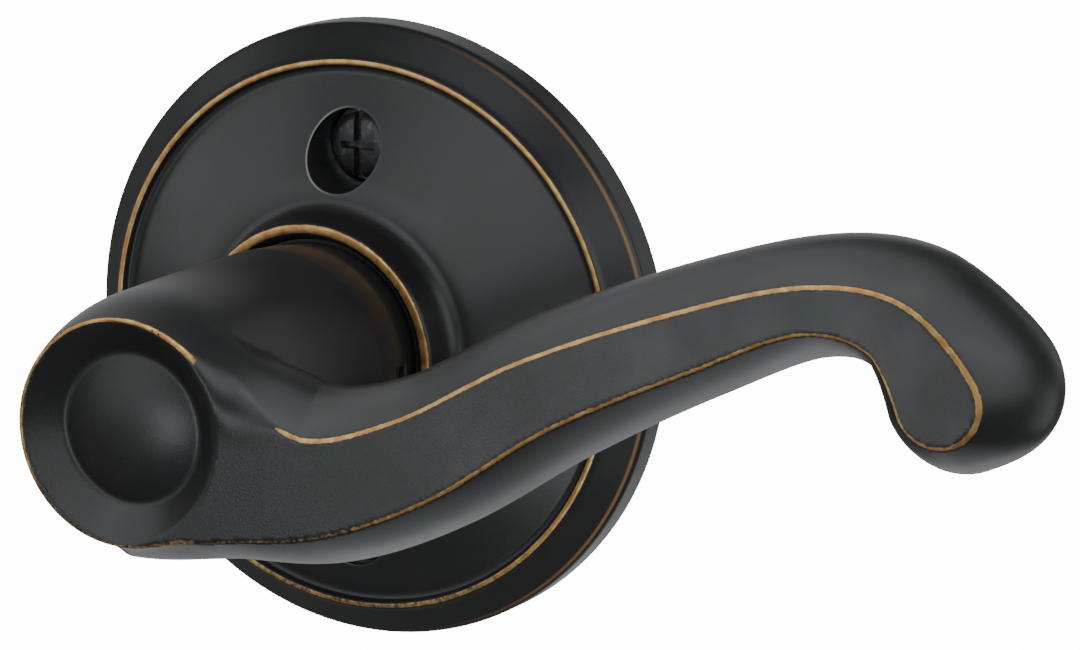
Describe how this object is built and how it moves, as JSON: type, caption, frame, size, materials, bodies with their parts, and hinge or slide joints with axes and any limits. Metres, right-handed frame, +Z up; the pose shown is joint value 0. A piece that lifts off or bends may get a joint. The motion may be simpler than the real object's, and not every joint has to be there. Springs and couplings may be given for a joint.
{
  "type": "lever handle lockset trim",
  "caption": "Inside trim of a lever lockset: a curled lever turns on a round stepped rose with through screws and a square drive spindle behind.",
  "frame": {"origin": "centre of the rose on the door face, where the spindle axis crosses the door", "axes": "+X along the lever at rest, +Y into the door along the spindle, +Z up"},
  "size_m": [0.1301, 0.1023, 0.0666],
  "materials": {
    "bronze": "near-black aged bronze, satin, worn to bright bronze along the raised edges",
    "zinc": "zinc plated steel",
    "yellow_zinc": "yellow passivated zinc plated steel",
    "nylon": "natural nylon",
    "black_nylon": "black nylon",
    "black_screw": "black oxide steel",
    "spring_steel": "drawn spring steel",
    "spindle_steel": "cold drawn steel",
    "diecast": "die-cast zinc alloy"
  },
  "bodies": {
    "trim": {"rose": "bronze", "mounting_plate": "zinc", "rear_bushing": "nylon", "thrust_washer": "yellow_zinc", "spring_housing": "yellow_zinc", "housing_rivets": "zinc", "spring_cover": "yellow_zinc", "neck_bushing": "black_nylon", "screw_ferrules": "zinc", "mounting_screws": "black_screw", "rose_clips": "spring_steel", "clip_rivets": "zinc", "return_spring": "spring_steel"},
    "lever": {"lever": "bronze", "spindle_tube": "zinc", "spindle_core": "diecast", "spindle_pin": "spring_steel", "drive_spindle": "spindle_steel", "driver_cam": "yellow_zinc", "retaining_ring": "spring_steel", "wave_washer": "spring_steel", "catch_spring": "spring_steel"},
    "catch": {"lever_catch": "spring_steel"}
  },
  "joints": [
    {"name": "lever_turn", "type": "hinge", "parent": "trim", "child": "lever", "pos_m": [0, 0, 0], "axis": [0, 1, 0], "range_deg": [-50, 50], "stiffness_Nm_per_rad": 1.2, "springref_deg": -1.72, "deforming": ["return_spring"]},
    {"name": "catch_press", "type": "slide", "parent": "lever", "child": "catch", "axis": [-0.9976, 0, 0.0698], "range_m": [0, 0.0022], "stiffness_N_per_m": 600, "deforming": ["catch_spring"]}
  ]
}
